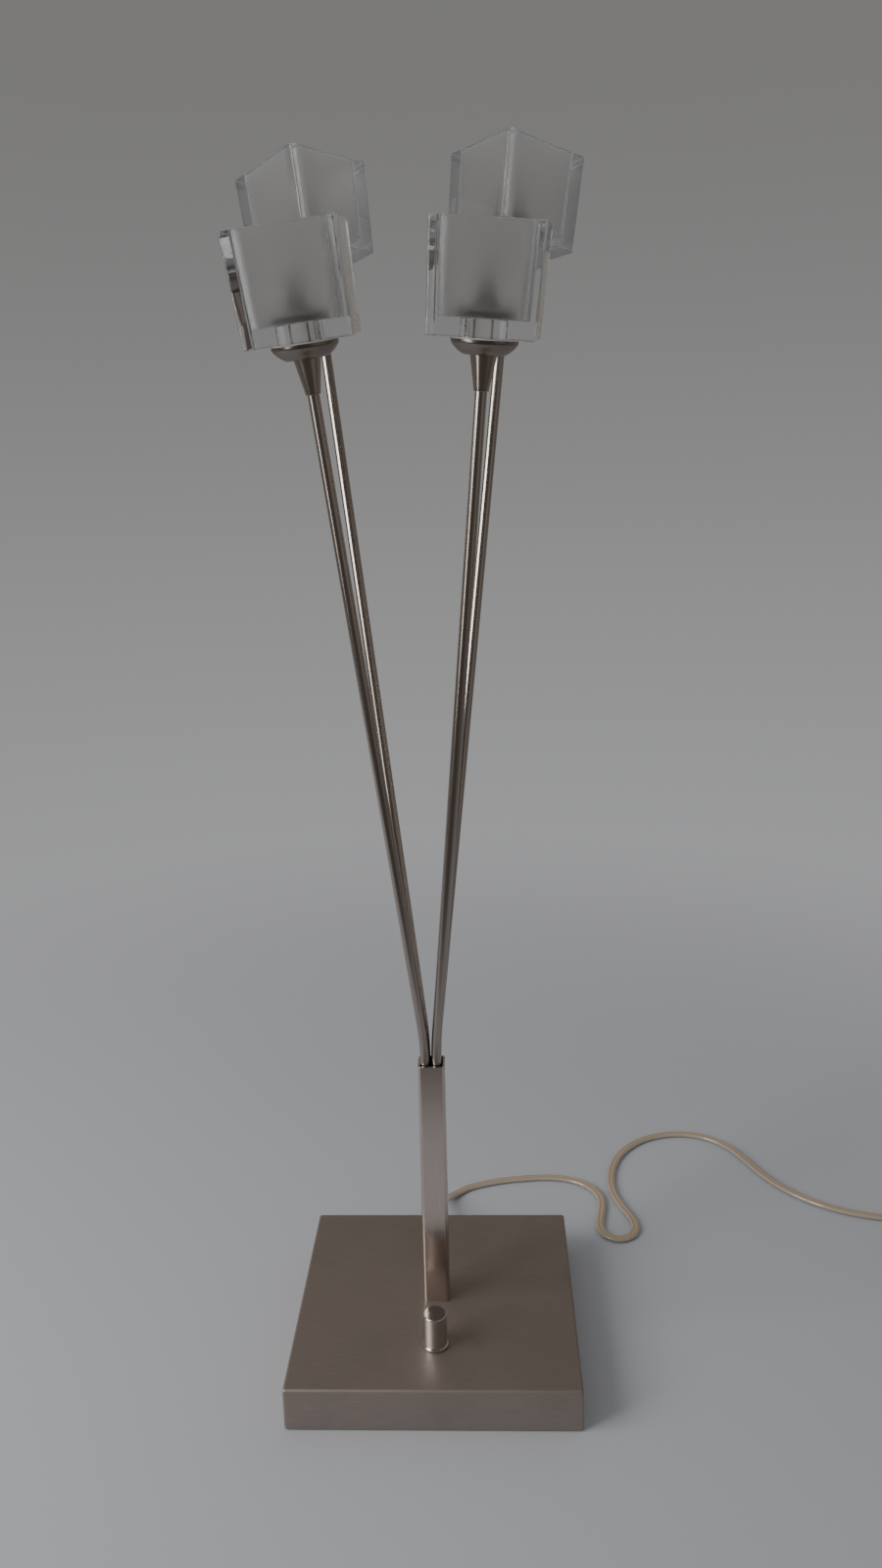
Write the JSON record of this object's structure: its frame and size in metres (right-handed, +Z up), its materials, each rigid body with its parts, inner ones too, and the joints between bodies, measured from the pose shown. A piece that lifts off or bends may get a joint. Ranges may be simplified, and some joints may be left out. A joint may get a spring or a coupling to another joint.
{
  "type": "four-arm table lamp",
  "caption": "Table lamp with a square weighted base, square stem, and leaning rods that each carry a square glass shade, with a rotary dimmer and a flat cord with plug.",
  "frame": {"origin": "centre of the pad under the square base, on the surface that the lamp stands on", "axes": "+Z up along the stem, -Y towards the front with the dimmer knob, +X to the right"},
  "size_m": [0.4835, 0.3116, 0.6595],
  "materials": {
    "satin_nickel": "satin brushed nickel plate",
    "polished_nickel": "polished nickel",
    "zinc_steel": "zinc plated",
    "yellow_zinc": "yellow passivated zinc",
    "ballast_iron": "plain",
    "black_pad": "matt foam rubber",
    "black_plastic": "fine matt",
    "cream_plastic": "plain",
    "lead_insulation": "heat-proof sleeve",
    "washer_fibre": "silicone",
    "pin_metal": "nickel plated",
    "ceramic": "unglazed dark ceramic",
    "bulb_glass": "clear quartz",
    "shade_glass": "clear outside, frosted hollow",
    "clear_gold_pvc": "clear with copper cores",
    "black_tie": "ribbed strap",
    "plug_plastic": "moulded"
  },
  "bodies": {
    "base": {"base_cover": "satin_nickel", "base_plate": "zinc_steel", "base_pad": "black_pad", "base_screws": "zinc_steel", "ballast": "ballast_iron", "transformer": "black_plastic", "terminal_block": "cream_plastic", "dimmer_body": "black_plastic", "dimmer_nut": "zinc_steel", "inner_leads": "lead_insulation", "stem_tube": "satin_nickel", "stem_plug": "zinc_steel", "stem_nipple": "yellow_zinc", "stem_washer": "zinc_steel", "stem_nut": "zinc_steel", "splice_block": "cream_plastic", "rod_spacer": "black_plastic", "rod_clamp": "black_plastic", "arm_leads": "lead_insulation", "seat_washers": "washer_fibre", "ring_nuts": "black_plastic", "bulb_pins": "pin_metal", "arm_front_left": "satin_nickel", "arm_front_right": "satin_nickel", "arm_back_left": "satin_nickel", "arm_back_right": "satin_nickel", "ferrule_front_left": "satin_nickel", "ferrule_front_right": "satin_nickel", "ferrule_back_left": "satin_nickel", "ferrule_back_right": "satin_nickel", "cup_front_left": "satin_nickel", "cup_front_right": "satin_nickel", "cup_back_left": "satin_nickel", "cup_back_right": "satin_nickel", "collar_front_left": "polished_nickel", "collar_front_right": "polished_nickel", "collar_back_left": "polished_nickel", "collar_back_right": "polished_nickel", "lampholder_front_left": "ceramic", "lampholder_front_right": "ceramic", "lampholder_back_left": "ceramic", "lampholder_back_right": "ceramic", "bulb_front_left": "bulb_glass", "bulb_front_right": "bulb_glass", "bulb_back_left": "bulb_glass", "bulb_back_right": "bulb_glass", "cord_boot": "clear_gold_pvc", "cord_run": "clear_gold_pvc", "cord_coil": "clear_gold_pvc", "cord_tail": "clear_gold_pvc", "cord_tie": "black_tie", "plug_body": "plug_plastic", "plug_pins": "pin_metal"},
    "knob": {"dimmer_knob": "polished_nickel", "dimmer_shaft": "zinc_steel"},
    "front_left_shade": {"shade_front_left": "shade_glass"},
    "front_right_shade": {"shade_front_right": "shade_glass"},
    "back_left_shade": {"shade_back_left": "shade_glass"},
    "back_right_shade": {"shade_back_right": "shade_glass"}
  },
  "joints": [
    {"name": "knob_turn", "type": "hinge", "parent": "base", "child": "knob", "pos_m": [0.0005, -0.044, 0.025], "axis": [0, 0, 1], "range_deg": [0, 270]},
    {"name": "front_left_shade_turn", "type": "hinge", "parent": "base", "child": "front_left_shade", "pos_m": [-0.04543, -0.05702, 0.55278], "axis": [-0.1133, -0.145, 0.9829], "continuous": true},
    {"name": "front_right_shade_turn", "type": "hinge", "parent": "base", "child": "front_right_shade", "pos_m": [0.03451, -0.05272, 0.55287], "axis": [0.085, -0.1334, 0.9874], "continuous": true},
    {"name": "back_left_shade_turn", "type": "hinge", "parent": "base", "child": "back_left_shade", "pos_m": [-0.05652, 0.07246, 0.60687], "axis": [-0.1245, 0.1622, 0.9789], "continuous": true},
    {"name": "back_right_shade_turn", "type": "hinge", "parent": "base", "child": "back_right_shade", "pos_m": [0.0482, 0.06005, 0.60755], "axis": [0.106, 0.1332, 0.9854], "continuous": true}
  ]
}
